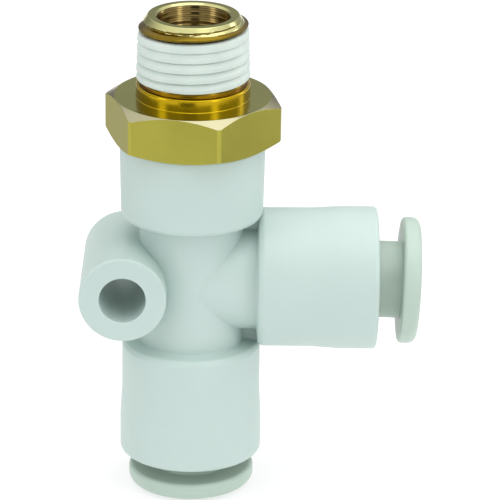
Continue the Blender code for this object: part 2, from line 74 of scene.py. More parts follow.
# Thread
THREAD_PITCH = 0.907
THREAD_DEPTH = 0.581
THREAD_GAUGE_R = 4.864
THREAD_GAUGE_FROM_END = 3.97
THREAD_TAPER = 1 / 32
THREAD_LOW = 1.4
THREAD_RUNOUT = 0.55
ROOT_AT_FRONT = 2.27            # height of the lowest root on the -Y side
FRONT_DEG = -90.0
END_FACE_R = 3.96
NOSE_LOW = 6.66                 # foot of the end chamfer
NOSE_SLOPE = 0.72               # radius gained for each length down the end chamfer
NOSE_FLARE = 3.0                # and below it, where the first crest stands free

# Stud
STUD_BORE_R = 3.15
BORE_RINGS = 14
BORE_RING_PITCH = 0.2
BORE_RING_DEPTH = 0.045
RELIEF_R = 4.6
RING_R = 4.99
RING_HEIGHT = 1.15
HEX_FLAT_R = 6.91
HEX_BAR_R = 7.87                # the hexagon's corners are turned off at this radius
HEX_HEIGHT = 4.0
HEX_TURN_DEG = 47.1
HEX_UPPER_SLOPE = math.tan(math.radians(30))
HEX_LOWER_SLOPE = math.tan(math.radians(22))
HEX_CHAMFER_INSET = 0.04
SPIGOT_R = 5.0
STUD_LEAN_DEG = 2.1             # play of the swivel, towards the front
STUD_PIVOT_Z = -6.75
STUD_LIFT = 0.1                 # end play of the swivel
# thread and relief are brass darkened as painted shade; nose and chamfer are brass paled as painted highlight
STUD_FINISHES = ("hex", "faced", "chamfer", "nose", "ring", "relief", "thread", "bore")

# Sealant coat
COAT_LOW = 1.6
COAT_HIGH = 6.04               # on the front
COAT_THICK = 0.05

# Body
CORE_R = 4.68
NECK_R = 4.66
CORE_HALF = 5.8
GUSSET_HALF = 0.55               # half the thickness of the web in each corner of the tee
COLLAR_TOP = -4.2
COLLAR_TOP_R = 6.42
COLLAR_LOW_R = 6.29
SOCKET_R = 5.15
SOCKET_FLOOR = -10.0
PASSAGE_R = 2.3
BOSS_X = -5.98
BOSS_R = 3.85
BOSS_HOLE_R = 2.05
CASING_ROOT_R = 6.2
CASING_MOUTH_R = 6.37

# Tube port
TUBE_BORE_R = 3.1
BUTTON_FLANGE = 1.6
BUTTON_FLANGE_R = 5.65
SLEEVE_R = 3.43
BUTTON_PIVOT = -7.5             # where a loose button tips in its guide, from its outer face
BRANCH_DROOP_DEG = 1.8
RUN_TIP_DEG = 0.7

# Studio, in metres and in units of a white wall
FLOOR_GAP = 0.0002
FLOOR_GREY = 0.42
FLOOR_GLOW = 0.62
ROOM_WALL = 0.55
ROOM_FRONT = 0.25               # how much brighter the wall in front is, and how much darker the one behind
ROOM_RIGHT = 0.12
ROOM_DARKEST = 0.25
ROOM_CEILING = 1.27
SCREEN_PLACE = (-0.02, -0.262, 0.15)
SCREEN_SIZE = (0.13, 0.11)
CARDS = (
    ("card_right", (0.05, -0.05), (0.26, 0.16), 0.55),
    ("card_left", (-0.20, 0.02), (-0.035, 0.20), 0.55),
    ("card_front", (-0.05, -0.15), (0.01, -0.085), 0.05),
)


# ---------------------------------------------------------------- outlines and meshes


def unit(a, b):
    x, y = b[0] - a[0], b[1] - a[1]
    length = math.hypot(x, y)
    return x / length, y / length, length


def rounded(corners, closed=True, steps=5):
    """Points of an outline.  A corner is (radius, height) or (radius, height, fillet)."""
    groups = []
    count = len(corners)
    for k, corner in enumerate(corners):
        here = corner[:2]
        fillet = corner[2] if len(corner) > 2 else 0.0
        points = []
        groups.append(points)
        if fillet == 0.0 or (not closed and k in (0, count - 1)):
            points.append(here)
            continue
        back = unit(here, corners[k - 1][:2])
        ahead = unit(here, corners[(k + 1) % count][:2])
        cosine = max(-1.0, min(1.0, back[0] * ahead[0] + back[1] * ahead[1]))
        half = math.acos(cosine) / 2
        reach = min(fillet / math.tan(half), 0.48 * back[2], 0.48 * ahead[2])
        start = (here[0] + back[0] * reach, here[1] + back[1] * reach)
        stop = (here[0] + ahead[0] * reach, here[1] + ahead[1] * reach)
        bisector = (back[0] + ahead[0], back[1] + ahead[1])
        size = math.hypot(*bisector)
        depth = reach / math.cos(half)
        centre = (here[0] + bisector[0] / size * depth, here[1] + bisector[1] / size * depth)
        a0 = math.atan2(start[1] - centre[1], start[0] - centre[0])
        a1 = math.atan2(stop[1] - centre[1], stop[0] - centre[0])
        sweep = (a1 - a0 + math.pi) % (2 * math.pi) - math.pi
        r = math.hypot(start[0] - centre[0], start[1] - centre[1])
        for j in range(steps + 1):
            a = a0 + sweep * j / steps
            points.append((centre[0] + r * math.cos(a), centre[1] + r * math.sin(a)))
    return braced(groups, closed)


def braced(groups, closed, margin=0.04):
    """All corners' points, with one more close to each end of the straight stretches to keep flats flat."""
    out = []
    for k, points in enumerate(groups):
        out += points
        if k == len(groups) - 1 and not closed:
            break
        a, b = points[-1], groups[(k + 1) % len(groups)][0]
        share = min(margin / max(math.dist(a, b), 1e-9), 0.25)
        for t in (share, 1 - share):
            out.append((a[0] + (b[0] - a[0]) * t, a[1] + (b[1] - a[1]) * t))
    return out


def refined(points, longest, closed=True):
    """The same outline with no straight stretch longer than longest."""
    out = []
    pairs = zip(points, points[1:] + points[:1]) if closed else zip(points, points[1:])
    for a, b in pairs:
        pieces = max(1, math.ceil(math.dist(a, b) / longest))
        out += [(a[0] + (b[0] - a[0]) * j / pieces, a[1] + (b[1] - a[1]) * j / pieces) for j in range(pieces)]
    if not closed:
        out.append(points[-1])
    return out


def finish_mesh(bm, name, sharp_deg=32.0):
    bmesh.ops.recalc_face_normals(bm, faces=bm.faces)
    mesh = bpy.data.meshes.new(name)
    bm.to_mesh(mesh)
    bm.free()
    mesh.shade_smooth()
    mesh.set_sharp_from_angle(angle=math.radians(sharp_deg))
    return mesh


def show(name, mesh, finish, matrix=None):
    thing = bpy.data.objects.new(name, mesh)
    bpy.context.scene.collection.objects.link(thing)
    if matrix is not None:
        thing.matrix_world = matrix
    finishes = finish if isinstance(finish, (list, tuple)) else [finish]
    if mesh.materials:
        mesh.materials.clear()
    for each in finishes:
        mesh.materials.append(each)
    return thing


def turned_mesh(name, outline, around=144, sharp_deg=32.0):
    """An outline of (radius, height) turned about Z.  Points with radius 0 meet on the axis."""
    bm = bmesh.new()
    rings = []
    for r, z in outline:
        if r < 1e-6:
            rings.append([bm.verts.new((0.0, 0.0, z * MM))] * around)
            continue
        angles = [2 * math.pi * k / around for k in range(around)]
        rings.append([bm.verts.new((r * math.cos(a) * MM, r * math.sin(a) * MM, z * MM)) for a in angles])
    for lower, upper in zip(rings, rings[1:] + rings[:1]):
        if lower[0] is lower[1] and upper[0] is upper[1]:
            continue
        for k in range(around):
            after = (k + 1) % around
            ring = [lower[k], lower[after], upper[after], upper[k]]
            bm.faces.new(list(dict.fromkeys(ring)))
    return finish_mesh(bm, name, sharp_deg)


def combined_mesh(name, base, steps, sharp_deg=32.0):
    """A mesh after Boolean steps of (operation, mesh, matrix)."""
    thing = show(name, base, None)
    helpers = []
    for operation, mesh, matrix in steps:
        other = show(name + "_operand", mesh, None, matrix)
        helpers.append(other)
        modifier = thing.modifiers.new(operation, "BOOLEAN")
        modifier.operation = operation
        modifier.object = other
        modifier.solver = "EXACT"
    bpy.context.view_layer.update()
    graph = bpy.context.evaluated_depsgraph_get()
    mesh = bpy.data.meshes.new_from_object(thing.evaluated_get(graph))
    for old in [thing, *helpers]:
        bpy.data.objects.remove(old, do_unlink=True)
    bm = bmesh.new()
    bm.from_mesh(mesh)
    bmesh.ops.remove_doubles(bm, verts=bm.verts, dist=2e-7)
    bm.to_mesh(mesh)
    bm.free()
    mesh.name = name
    mesh.shade_smooth()
    mesh.set_sharp_from_angle(angle=math.radians(sharp_deg))
    return mesh


# ---------------------------------------------------------------- node materials


def srgb(r, g, b):
    """Linear colour from the 0 to 255 values of a display."""
    return tuple((c / 255 / 12.92 if c <= 10 else ((c / 255 + 0.055) / 1.055) ** 2.4) for c in (r, g, b))


class Finish:
    """A Principled material and the few node patterns that these finishes are made of."""

    def __init__(self, name, roughness, metallic=0.0):
        self.material = bpy.data.materials.new(name)
        self.material.use_nodes = True
        self.nodes = self.material.node_tree.nodes
        self.links = self.material.node_tree.links
        self.shader = self.nodes["Principled BSDF"]
        self.shader.inputs["Roughness"].default_value = roughness
        self.shader.inputs["Metallic"].default_value = metallic
        place = self.nodes.new("ShaderNodeTexCoord")
        self.place = place.outputs["Object"]

    def value(self, socket, value):
        self.shader.inputs[socket].default_value = value

    def stretched(self, scale):
        mapping = self.nodes.new("ShaderNodeMapping")
        mapping.inputs["Scale"].default_value = scale
        self.links.new(self.place, mapping.inputs["Vector"])
        return mapping.outputs["Vector"]

    def noise(self, scale, detail=3.0, roughness=0.5, vector=None, distortion=0.0):
        node = self.nodes.new("ShaderNodeTexNoise")
        node.inputs["Scale"].default_value = scale
        node.inputs["Detail"].default_value = detail
        node.inputs["Roughness"].default_value = roughness
        node.inputs["Distortion"].default_value = distortion
        self.links.new(vector or self.place, node.inputs["Vector"])
        return node.outputs["Fac"]

    def ramp(self, factor, stops):
        node = self.nodes.new("ShaderNodeValToRGB")
        ramp = node.color_ramp
        while len(ramp.elements) < len(stops):
            ramp.elements.new(0.5)
        for element, (position, colour) in zip(ramp.elements, stops):
            element.position = position
            element.color = (*colour, 1.0)
        self.links.new(factor, node.inputs["Fac"])
        return node.outputs["Color"]

    def spread(self, factor, low, high, out_low, out_high):
        node = self.nodes.new("ShaderNodeMapRange")
        for socket, number in (("From Min", low), ("From Max", high), ("To Min", out_low), ("To Max", out_high)):
            node.inputs[socket].default_value = number
        self.links.new(factor, node.inputs["Value"])
        return node.outputs["Result"]

    def math(self, operation, a, b=None):
        node = self.nodes.new("ShaderNodeMath")
        node.operation = operation
        for socket, given in zip(node.inputs, (a, b)):
            if given is None:
                continue
            if isinstance(given, (int, float)):
                socket.default_value = given
            else:
                self.links.new(given, socket)
        return node.outputs[0]

    def colour(self, source):
        self.links.new(source, self.shader.inputs["Base Color"])

    def roughness(self, source):
        self.links.new(source, self.shader.inputs["Roughness"])

    def bump(self, heights):
        """Bump from (height source, strength, distance in metres), laid over each other."""
        last = None
        for source, strength, distance in heights:
            node = self.nodes.new("ShaderNodeBump")
            node.inputs["Strength"].default_value = strength
            node.inputs["Distance"].default_value = distance
            self.links.new(source, node.inputs["Height"])
            if last is not None:
                self.links.new(last, node.inputs["Normal"])
            last = node.outputs["Normal"]
        self.links.new(last, self.shader.inputs["Normal"])


def moulded(name, colour, roughness, mottle=0.012):
    """Satin moulded resin: a faint cloudiness, a fine spark-eroded grain and a little depth."""
    made = Finish(name, roughness)
    darker = tuple(c * (1 - mottle) for c in colour)
    lighter = tuple(min(c * (1 + mottle), 1.0) for c in colour)
    cloud = made.noise(260.0, 4.0, 0.55)
    made.colour(made.ramp(cloud, [(0.3, darker), (0.7, lighter)]))
    grain = made.noise(9000.0, 2.0, 0.6)
    made.roughness(made.spread(cloud, 0.3, 0.7, roughness - 0.04, roughness + 0.04))
    made.bump([(cloud, 0.06, 0.0002), (grain, 0.05, 0.00002)])
    made.value("Subsurface Weight", 0.12)
    made.value("Subsurface Radius", (1.0, 1.0, 0.95))
    made.value("Subsurface Scale", 0.0008)
    made.value("IOR", 1.5)
    return made.material


def brass(name, colour, roughness, grain_scale, grain_strength, tarnish=0.06):
    """Machined brass.  The grain is stretched round the stud's axis or along it by grain_scale."""
    made = Finish(name, roughness, 1.0)
    darker = tuple(c * (1 - tarnish) for c in colour)
    lighter = tuple(min(c * (1 + tarnish), 1.0) for c in colour)
    patch = made.noise(180.0, 4.0, 0.6)
    made.colour(made.ramp(patch, [(0.3, darker), (0.7, lighter)]))
    grain = made.noise(1.0, 3.0, 0.6, made.stretched(grain_scale))
    made.roughness(made.spread(patch, 0.3, 0.7, roughness - 0.04, roughness + 0.05))
    made.bump([(grain, grain_strength, 0.00003)])
    return made.material


def make_finishes():
    finishes = {
        "body": moulded("body_resin", srgb(190, 208, 203), 0.42),
        "button": moulded("button_resin", srgb(180, 199, 187), 0.38),
        "inner": moulded("inner_resin", srgb(205, 205, 196), 0.5),
        "hex": brass("brass_milled", srgb(171, 165, 73), 0.36, (500.0, 500.0, 5000.0), 0.10),
        "faced": brass("brass_faced", srgb(156, 156, 78), 0.16, (400.0, 400.0, 9000.0), 0.08),
        # The chamfer and nose finishes are paler, less saturated brass: painted highlight, standing in for the cream
        # glints on these slopes.
        "chamfer": brass("brass_chamfer_painted_highlight", srgb(168, 163, 130), 0.2, (400.0, 400.0, 9000.0), 0.08),
        "nose": brass("brass_nose_painted_highlight", srgb(200, 197, 138), 0.18, (400.0, 400.0, 9000.0), 0.08),
        "ring": brass("brass_turned", srgb(190, 158, 26), 0.2, (400.0, 400.0, 9000.0), 0.10),
        # The relief and thread finishes are darker, browner brass than the ring: painted shade of the groove under the
        # coat and under the nose.
        "relief": brass("brass_relief_painted_shade", srgb(134, 100, 12), 0.2, (400.0, 400.0, 9000.0), 0.10),
        "thread": brass("brass_thread_painted_shade", srgb(120, 99, 28), 0.2, (400.0, 400.0, 9000.0), 0.25),
        "bore": brass("brass_bore", srgb(140, 120, 72), 0.2, (300.0, 300.0, 9000.0), 0.10),
    }
    coat = Finish("dry_sealant", 0.62)
    cloud = coat.noise(420.0, 5.0, 0.6)
    coat.colour(coat.ramp(cloud, [(0.25, srgb(198, 211, 205)), (0.75, srgb(211, 223, 217))]))
    coat.bump([(coat.noise(1500.0, 3.0, 0.6), 0.25, 0.00005), (cloud, 0.2, 0.0002)])
    coat.value("Subsurface Weight", 0.1)
    coat.value("Subsurface Scale", 0.0003)
    finishes["coat"] = coat.material

    nickel = Finish("nickel_plate", 0.25, 1.0)
    rings = nickel.noise(1.0, 2.0, 0.5, nickel.stretched((300.0, 300.0, 7000.0)))
    nickel.colour(nickel.ramp(rings, [(0.3, srgb(186, 184, 176)), (0.7, srgb(204, 202, 195))]))
    nickel.bump([(rings, 0.1, 0.00002)])
    finishes["nickel"] = nickel.material

    steel = Finish("spring_steel", 0.3, 1.0)
    rolled = steel.noise(1.0, 3.0, 0.6, steel.stretched((900.0, 5000.0, 900.0)))
    steel.colour(steel.ramp(rolled, [(0.3, srgb(178, 180, 182)), (0.7, srgb(200, 202, 204))]))
    steel.bump([(rolled, 0.08, 0.00002)])
    finishes["steel"] = steel.material

    rubber = Finish("nitrile_rubber", 0.55)
    dust = rubber.noise(900.0, 4.0, 0.6)
    rubber.colour(rubber.ramp(dust, [(0.3, srgb(24, 24, 25)), (0.8, srgb(44, 44, 44))]))
    rubber.bump([(dust, 0.15, 0.00005)])
    finishes["rubber"] = rubber.material
    return finishes


# ---------------------------------------------------------------- stud and its thread


def crest_radius(z):
    return THREAD_GAUGE_R + (STUD_TOP - THREAD_GAUGE_FROM_END - z) * THREAD_TAPER


def groove_phase(angle_deg, z):
    """Position in the thread form, from -0.5 to 0.5 with 0 at a root's middle."""
    turn = (angle_deg - FRONT_DEG) / 360.0
    return ((z - ROOT_AT_FRONT) / THREAD_PITCH - turn + 0.5) % 1.0 - 0.5


def thread_height(phase):
    """Whitworth form as a share of its depth: straight flanks with a round root and crest."""
    away = abs(phase)
    flat, flank = 0.07, 0.36
    share = min(max((away - flat) / flank, 0.0), 1.0)
    eased = share * share * (3 - 2 * share)
    return 0.55 * share + 0.45 * eased


def thread_radius(angle_deg, z):
    rise = min(max((z - THREAD_LOW) / THREAD_RUNOUT, 0.0), 1.0)
    root = crest_radius(z) - THREAD_DEPTH
    thread = root + THREAD_DEPTH * thread_height(groove_phase(angle_deg, z)) * rise
    relieved = RELIEF_R + (thread - RELIEF_R) * rise
    nose = END_FACE_R + (STUD_TOP - z) * NOSE_SLOPE + max(NOSE_LOW - z, 0.0) * NOSE_FLARE
    return min(relieved, nose)


def column_angles():
    """Half-planes round the stud, closer together at the hexagon's six corners."""
    bar_edge = 30.0 - math.degrees(math.acos(HEX_FLAT_R / HEX_BAR_R))
    near = [0.0, bar_edge / 2, bar_edge, 1.5 * bar_edge]
    plain = [3.0 + 1.5 * k for k in range(37)]
    sector = near + plain + [60.0 - a for a in reversed(near[1:])]
    return [HEX_TURN_DEG + 60.0 * k + a for k in range(6) for a in sector]


def hexagon_radius(angle_deg):
    """Distance from the axis to the hexagon's side, or to its turned corner."""
    off_middle = math.radians((angle_deg - HEX_TURN_DEG) % 60.0 - 30.0)
    return min(HEX_FLAT_R / math.cos(off_middle), HEX_BAR_R)


def tool_rings(top):
    """The fine rings a boring tool leaves, as corners up the bore's wall to its lip."""
    corners = []
    for k in range(BORE_RINGS, 0, -1):
        z = top - k * BORE_RING_PITCH
        depth = BORE_RING_DEPTH * (0.7 + 0.6 * abs(math.sin(5.1 * k)))
        corners += [(STUD_BORE_R, z), (STUD_BORE_R + depth, z + 0.72 * BORE_RING_PITCH)]
    return [*corners, (STUD_BORE_R, top, 0.03)]


def plain_outline(angle_deg):
    """The stud from the thread's relief down, in through the bore and up to the end chamfer."""
    side = hexagon_radius(angle_deg)
    start = HEX_FLAT_R - HEX_CHAMFER_INSET
    upper = (side - start) * HEX_UPPER_SLOPE
    lower = (side - start) * HEX_LOWER_SLOPE
    lip = 0.19
    return rounded(
        [
            (RELIEF_R, THREAD_LOW - 0.03),
            (RELIEF_R, RING_HEIGHT, 0.06),
            (RING_R, RING_HEIGHT, 0.22),
            (RING_R, 0.0, 0.06),
            (start, 0.0, 0.06),
            (side, -upper, 0.05),
            (side, -HEX_HEIGHT + lower, 0.05),
            (start, -HEX_HEIGHT, 0.08),
            (SPIGOT_R, -HEX_HEIGHT, 0.05),
            (SPIGOT_R, -5.6),
            (4.4, -5.6),
            (4.4, -6.5),
            (SPIGOT_R, -6.5),
            (SPIGOT_R, -7.6),
            (4.0, -7.6),
            (4.0, -8.9),
            (SPIGOT_R, -8.9),
            (SPIGOT_R, SPIGOT_END, 0.3),
            (STUD_BORE_R + lip, SPIGOT_END),
            (STUD_BORE_R, SPIGOT_END + lip),
            *tool_rings(STUD_TOP - lip),
            (STUD_BORE_R + lip, STUD_TOP, 0.03),
            (END_FACE_R, STUD_TOP, 0.06),
            (END_FACE_R + 0.15 * NOSE_SLOPE, STUD_TOP - 0.15),
        ],
        closed=False,
        steps=4,
    )


def stud_mesh():
    """The whole stud as one grid of columns and rows."""
    rows = 170
    top, low = STUD_TOP - 0.18, THREAD_LOW
    heights = [top + (low - top) * k / (rows - 1) for k in range(rows)]
    bm = bmesh.new()
    columns = []
    for angle in column_angles():
        a = math.radians(angle)
        outline = [(thread_radius(angle, z), z) for z in heights] + plain_outline(angle)
        columns.append([bm.verts.new((r * math.cos(a) * MM, r * math.sin(a) * MM, z * MM)) for r, z in outline])
    for left, right in zip(columns, columns[1:] + columns[:1]):
        for k in range(len(left)):
            after = (k + 1) % len(left)
            bm.faces.new((left[k], right[k], right[after], left[after]))
    mesh = finish_mesh(bm, "stud", 26.0)
    for face in mesh.polygons:
        face.material_index = STUD_FINISHES.index(stud_finish(face.center / MM, face.normal))
    return mesh


def stud_finish(centre, normal):
    """The finish of one face of the stud, by the machining that made it. The thread and relief get darker copies of
    the brass as painted shade, and the nose and chamfer get paler copies as painted highlight.
    """
    r = math.hypot(centre.x, centre.y)
    if r < STUD_BORE_R + 0.06 and centre.z < STUD_TOP - 0.2:
        return "bore"
    if centre.z > THREAD_LOW + 0.02:
        on_nose = r < END_FACE_R + (STUD_TOP - centre.z) * NOSE_SLOPE + 0.02
        if not on_nose or centre.z < NOSE_LOW - 0.03 or normal.z < 0.2:
            # Thread faces take the darker brass of painted shade.
            return "thread"
        # Sloping nose faces take the paler brass of painted highlight.
        return "faced" if normal.z > 0.97 else "nose"
    if centre.z > 0.01:
        # The relief takes the darker brass of painted shade.
        return "relief" if r < RING_R - 0.25 else "ring"
    if centre.z < -0.8 or normal.z < 0.7:
        return "hex"
    # Chamfer faces take the paler brass of painted highlight.
    return "faced" if normal.z > 0.97 else "chamfer"


def coat_top(angle_deg):
    """Upper edge of the coat.  It follows the thread round the front and drops back behind."""
    off_front = (angle_deg - FRONT_DEG + 180.0) % 360.0 - 180.0
    turn = off_front / 360.0
    held = 150.0
    if abs(off_front) > held:
        share = (180.0 - abs(off_front)) / (180.0 - held)
        turn = math.copysign(held / 360.0 * math.sin(share * math.pi / 2), off_front)
    wander = noise.noise(Vector((math.cos(math.radians(angle_deg)), math.sin(math.radians(angle_deg)), 4.2)) * 2.2)
    return COAT_HIGH + THREAD_PITCH * turn + 0.05 * wander


def coat_low(angle_deg):
    a = math.radians(angle_deg)
    return COAT_LOW + 0.05 * noise.noise(Vector((math.cos(a), math.sin(a), 9.1)) * 2.6)


def coat_radius(angle_deg, z):
    """Outside of the coat: a band over each crest, a sharp groove under it, then a filled root."""
    below_crest = (0.5 - groove_phase(angle_deg, z)) % 1.0
    a = math.radians(angle_deg)
    blotch = noise.noise(Vector((math.cos(a) * 2.0, math.sin(a) * 2.0, z * 0.9)))
    filled = min(max((z - 3.6) / 2.2, 0.0), 1.0)
    depth = (0.24 - 0.13 * filled) * (1.0 + 0.4 * blotch)
    band, bottom, next_band = 0.15, 0.24 + 0.03 * filled, 0.86
    if below_crest < band or below_crest > next_band:
        dip = 0.0
    elif below_crest < bottom:
        share = (below_crest - band) / (bottom - band)
        dip = share * share * (3 - 2 * share)
    else:
        dip = (1 - (below_crest - bottom) / (next_band - bottom)) ** (1.5 - 0.4 * filled)
    cut = max(0.0, 1.0 - abs(below_crest - 0.245) / 0.05) * (1.0 - filled) * (0.8 + 0.5 * blotch)
    return crest_radius(z) + COAT_THICK - depth * dip - 0.35 * cut + 0.012 * blotch


def sealant_mesh():
    """A closed skin: the outer wall has the coat's shape, the inner wall lies just off the thread."""
    rows, around = 180, 300
    edge = 0.14
    bm = bmesh.new()
    columns = []
    for k in range(around):
        angle = 360.0 * k / around
        a = math.radians(angle)
        low, high = coat_low(angle), coat_top(angle)
        outline = []
        for j in range(rows):
            z = low + (high - low) * j / (rows - 1)
            under = thread_radius(angle, z) + 0.012
            to_edge = min(z - low, high - z) / edge
            cover = math.sqrt(max(1 - (1 - min(to_edge, 1.0)) ** 2, 0.0))
            outer = under + 0.01 + max(coat_radius(angle, z) - under, 0.02) * cover
            outline.append((outer, z, under))
        ring = [(r, z) for r, z, _ in outline] + [(under, z) for _, z, under in reversed(outline[::6])]
        columns.append([bm.verts.new((r * math.cos(a) * MM, r * math.sin(a) * MM, z * MM)) for r, z in ring])
    for left, right in zip(columns, columns[1:] + columns[:1]):
        for k in range(len(left)):
            after = (k + 1) % len(left)
            bm.faces.new((left[k], right[k], right[after], left[after]))
    return finish_mesh(bm, "sealant", 60.0)


def make_stud(finish):
    pivot = Matrix.Translation((0.0, 0.0, STUD_PIVOT_Z * MM))
    lift = Matrix.Translation((0.0, 0.0, STUD_LIFT * MM))
    lean = lift @ pivot @ Matrix.Rotation(math.radians(STUD_LEAN_DEG), 4, "X") @ pivot.inverted()
    stud = show("stud", stud_mesh(), [finish[look] for look in STUD_FINISHES], lean)
    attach(stud, "stud")
    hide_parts("threaded_stud")
    coat = show("sealant_coat", sealant_mesh(), finish["coat"], lean)
    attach(coat, "stud")
    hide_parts("thread_sealant")


# ---------------------------------------------------------------- body


def casing_outline():
    """Outside of a tube port from its shoulder to its mouth."""
    return [
        (NECK_R, CORE_HALF, 0.12),
        (CASING_ROOT_R - 0.25, CORE_HALF + 0.12, 0.3),
        (CASING_ROOT_R, CORE_HALF + 0.55, 0.5),
        (CASING_ROOT_R + 0.01, 10.6, 3.0),
        (CASING_MOUTH_R, 13.2, 3.0),
        (CASING_MOUTH_R, MOUTH, 0.38),
    ]


def bore_outline():
    """The stepped bore of a tube port from the centre out past its mouth."""
    past = 0.8
    return [
        (0.0, 0.0),
        (PASSAGE_R, 0.0),
        (PASSAGE_R, 4.0, 0.1),
        (TUBE_BORE_R, 4.0, 0.1),
        (TUBE_BORE_R, 6.6, 0.15),
        (4.6, 6.6, 0.1),
        (4.6, 9.0, 0.1),
        (5.2, 9.0, 0.1),
        (5.2, MOUTH - 0.25),
        (5.45 + past, MOUTH + past),
        (0.0, MOUTH + past),
    ]


def body_mesh():
    collar_low = BRANCH_Z + CORE_HALF
    port = [(corner[0], BRANCH_Z - corner[1], *corner[2:]) for corner in casing_outline()]
    port[0] = (CORE_R, port[0][1], 0.12)
    shell = [
        (0.0, COLLAR_TOP),
        (COLLAR_TOP_R, COLLAR_TOP, 0.25),
        (COLLAR_LOW_R, collar_low, 0.6),
        (CORE_R, collar_low, 0.10),
        *port,
        (0.0, BRANCH_Z - MOUTH),
    ]
    branch = [(0.0, 0.0), (NECK_R, 0.0), *casing_outline(), (0.0, MOUTH)]
    boss = [(0.0, BOSS_HALF), (BOSS_R, BOSS_HALF, 0.2), (BOSS_R, -BOSS_HALF, 0.2), (0.0, -BOSS_HALF)]
    end = BOSS_HALF + 0.4
    lead = 0.03
    hole = [
        (0.0, end),
        (BOSS_HOLE_R + lead + 0.4, end),
        (BOSS_HOLE_R, BOSS_HALF - lead, 0.1),
        (BOSS_HOLE_R, -BOSS_HALF + lead, 0.1),
        (BOSS_HOLE_R + lead + 0.4, -end),
        (0.0, -end),
    ]
    past = 0.7
    socket = [
        (0.0, COLLAR_TOP + past),
        (SOCKET_R + 0.3 + past, COLLAR_TOP + past),
        (SOCKET_R, COLLAR_TOP - 0.3),
        (SOCKET_R, -5.6),
        (5.6, -5.6),
        (5.6, -6.5),
        (SOCKET_R, -6.5),
        (SOCKET_R, SOCKET_FLOOR, 0.1),
        (PASSAGE_R, SOCKET_FLOOR, 0.1),
        *[(corner[0], BRANCH_Z - corner[1], *corner[2:]) for corner in bore_outline()[1:]],
    ]
    across = Matrix.Translation((BOSS_X * MM, 0.0, BRANCH_Z * MM)) @ Matrix.Rotation(math.pi / 2, 4, "X")

    def solid(name, corners, around, longest=0.7):
        return turned_mesh(name, refined(rounded(corners), longest), around)

    bm = bmesh.new()
    bmesh.ops.create_cube(bm, size=1.0)
    reach = CORE_HALF + 0.35
    for vert in bm.verts:
        vert.co = Vector((
            (vert.co.x + 0.5) * reach,
            vert.co.y * 2 * GUSSET_HALF,
            BRANCH_Z + vert.co.z * 2 * reach,
        )) * MM
    web = finish_mesh(bm, "web")
    return combined_mesh(
        "body",
        solid("shell", shell, 180),
        [
            ("UNION", web, Matrix.Identity(4)),
            ("UNION", solid("branch", branch, 180), branch_frame),
            ("UNION", solid("boss", boss, 120), across),
            ("DIFFERENCE", solid("socket", socket, 120), Matrix.Identity(4)),
            ("DIFFERENCE", solid("bore", bore_outline(), 120), branch_frame),
            ("DIFFERENCE", solid("hole", hole, 96), across),
        ],
    )


def make_body(finish):
    body = show("body", body_mesh(), finish["body"])
    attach(body, "tee")
    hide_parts("tee_body")


# ---------------------------------------------------------------- tube ports


def button_mesh():
    """The release button with its flange's outer face at height 0 and the sleeve below it."""
    back = -BUTTON_FLANGE
    shoulder = -5.33
    corners = [
        (TUBE_BORE_R, -6.2, 0.08),
        (SLEEVE_R - 0.2, -6.2, 0.08),
        (3.95, -5.65, 0.06),
        (3.95, shoulder, 0.06),
        (SLEEVE_R, shoulder, 0.05),
        (SLEEVE_R, back, 0.12),
        (BUTTON_FLANGE_R, back, 0.36),
        (BUTTON_FLANGE_R, 0.0, 0.75),
        (TUBE_BORE_R + 0.75, 0.0, 0.25),
        (TUBE_BORE_R, -0.95, 0.5),
    ]
    blank = turned_mesh("button", refined(rounded(corners), 0.8), 180)
    steps = []
    for k in range(2):
        bm = bmesh.new()
        bmesh.ops.create_cube(bm, size=1.0)
        for vert in bm.verts:
            vert.co = Vector((vert.co.x * 12.0, vert.co.y * 0.5, vert.co.z * 3.0 - 6.15)) * MM
        slit = finish_mesh(bm, "slit")
        steps.append(("DIFFERENCE", slit, Matrix.Rotation(math.pi * k / 2 + math.radians(11), 4, "Z")))
    return combined_mesh("button", blank, steps)


def inner_meshes():
    """The fixed and floating rings of one port, by the CAD piece they stand for."""
    seal = [
        (4.5, 6.7, 0.05),
        (4.5, 8.1, 0.12),
        (3.37, 8.1, 0.12),
        (3.22, 7.35, 0.2),
        (3.02, 7.15, 0.1),
        (3.07, 6.7, 0.06),
        (3.37, 6.7, 0.06),
        (3.62, 7.35, 0.1),
        (4.05, 7.35, 0.1),
        (4.25, 6.7, 0.06),
    ]
    back_ring = [(3.1, 8.2, 0.12), (4.5, 8.2, 0.08), (4.5, 8.7, 0.12), (3.1, 8.7, 0.12)]
    guide = [
        (4.65, 9.1, 0.08),
        (5.1, 9.1, 0.08),
        (5.1, MOUTH - 0.15, 0.2),
        (3.65, MOUTH - 0.15, 0.2),
        (3.65, 15.0, 0.08),
        (4.1, 15.0, 0.08),
        (4.1, 12.0, 0.3),
        (4.65, 10.2, 0.3),
    ]
    return {
        "seal": turned_mesh("seal", rounded(seal), 120),
        "back_ring": turned_mesh("back_ring", rounded(back_ring), 120),
        "guide_ring": turned_mesh("guide_ring", refined(rounded(guide), 0.9), 144),
    }


